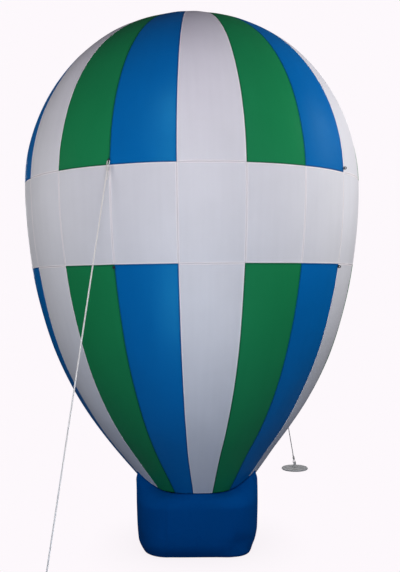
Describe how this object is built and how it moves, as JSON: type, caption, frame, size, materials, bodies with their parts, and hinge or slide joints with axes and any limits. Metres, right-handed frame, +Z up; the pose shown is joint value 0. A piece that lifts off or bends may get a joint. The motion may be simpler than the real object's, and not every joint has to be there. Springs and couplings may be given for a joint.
{
  "type": "standing inflatable advertising balloon",
  "caption": "Cold-air advertising balloon shaped like a hot-air balloon: coloured gores, white band, soft square base, guy ropes and a blower behind.",
  "frame": {"origin": "middle of the flat bottom of the base, on the ground", "axes": "+Z up; -Y is the front that faces the camera in the picture; +X to the right seen from the front"},
  "size_m": [2, 3.6236, 3.1953],
  "materials": {
    "white_fabric": "taut satin woven nylon",
    "green_fabric": "taut satin woven nylon",
    "blue_fabric": "taut satin woven nylon",
    "base_fabric": "matt coated cloth",
    "black_webbing": "woven webbing",
    "white_rope": "twisted rope",
    "black_plastic": "moulded, fine grain",
    "grey_plastic": "moulded, fine grain",
    "steel": "bright zinc",
    "weight_steel": "satin light grey paint",
    "black_rubber": "matt"
  },
  "bodies": {
    "balloon": {"banner_tab_back_left": "black_webbing", "banner_tab_back_right": "black_webbing", "banner_tab_front_left": "black_webbing", "banner_tab_front_right": "black_webbing", "base_floor": "base_fabric", "base_wall": "base_fabric", "blower_handle": "black_plastic", "blower_housing": "black_plastic", "blower_motor": "grey_plastic", "blower_stand": "black_rubber", "crown_patch": "white_fabric", "equator_band": "white_fabric", "guy_rope_back_right": "white_rope", "guy_rope_front_left": "white_rope", "guy_tab_back_left": "black_webbing", "guy_tab_back_right": "black_webbing", "guy_tab_front_left": "black_webbing", "guy_tab_front_right": "black_webbing", "guy_weight_back_right": "weight_steel", "guy_weight_front_left": "weight_steel", "inflation_sleeve": "base_fabric", "intake_guard": "steel", "lower_gore_01": "white_fabric", "lower_gore_02": "green_fabric", "lower_gore_03": "blue_fabric", "lower_gore_04": "white_fabric", "lower_gore_05": "green_fabric", "lower_gore_06": "blue_fabric", "lower_gore_07": "white_fabric", "lower_gore_08": "green_fabric", "lower_gore_09": "blue_fabric", "lower_gore_10": "white_fabric", "lower_gore_11": "green_fabric", "lower_gore_12": "blue_fabric", "lower_gore_13": "white_fabric", "lower_gore_14": "green_fabric", "lower_gore_15": "blue_fabric", "lower_gore_16": "white_fabric", "lower_gore_17": "green_fabric", "lower_gore_18": "blue_fabric", "upper_gore_01": "white_fabric", "upper_gore_02": "green_fabric", "upper_gore_03": "blue_fabric", "upper_gore_04": "white_fabric", "upper_gore_05": "green_fabric", "upper_gore_06": "blue_fabric", "upper_gore_07": "white_fabric", "upper_gore_08": "green_fabric", "upper_gore_09": "blue_fabric", "upper_gore_10": "white_fabric", "upper_gore_11": "green_fabric", "upper_gore_12": "blue_fabric", "upper_gore_13": "white_fabric", "upper_gore_14": "green_fabric", "upper_gore_15": "blue_fabric", "upper_gore_16": "white_fabric", "upper_gore_17": "green_fabric", "upper_gore_18": "blue_fabric"},
    "fan_wheel": {"blower_impeller": "grey_plastic"}
  },
  "joints": [
    {"name": "fan_wheel_spin", "type": "hinge", "parent": "balloon", "child": "fan_wheel", "pos_m": [0, 0.8, 0.15], "axis": [1, 0, 0], "continuous": true}
  ]
}
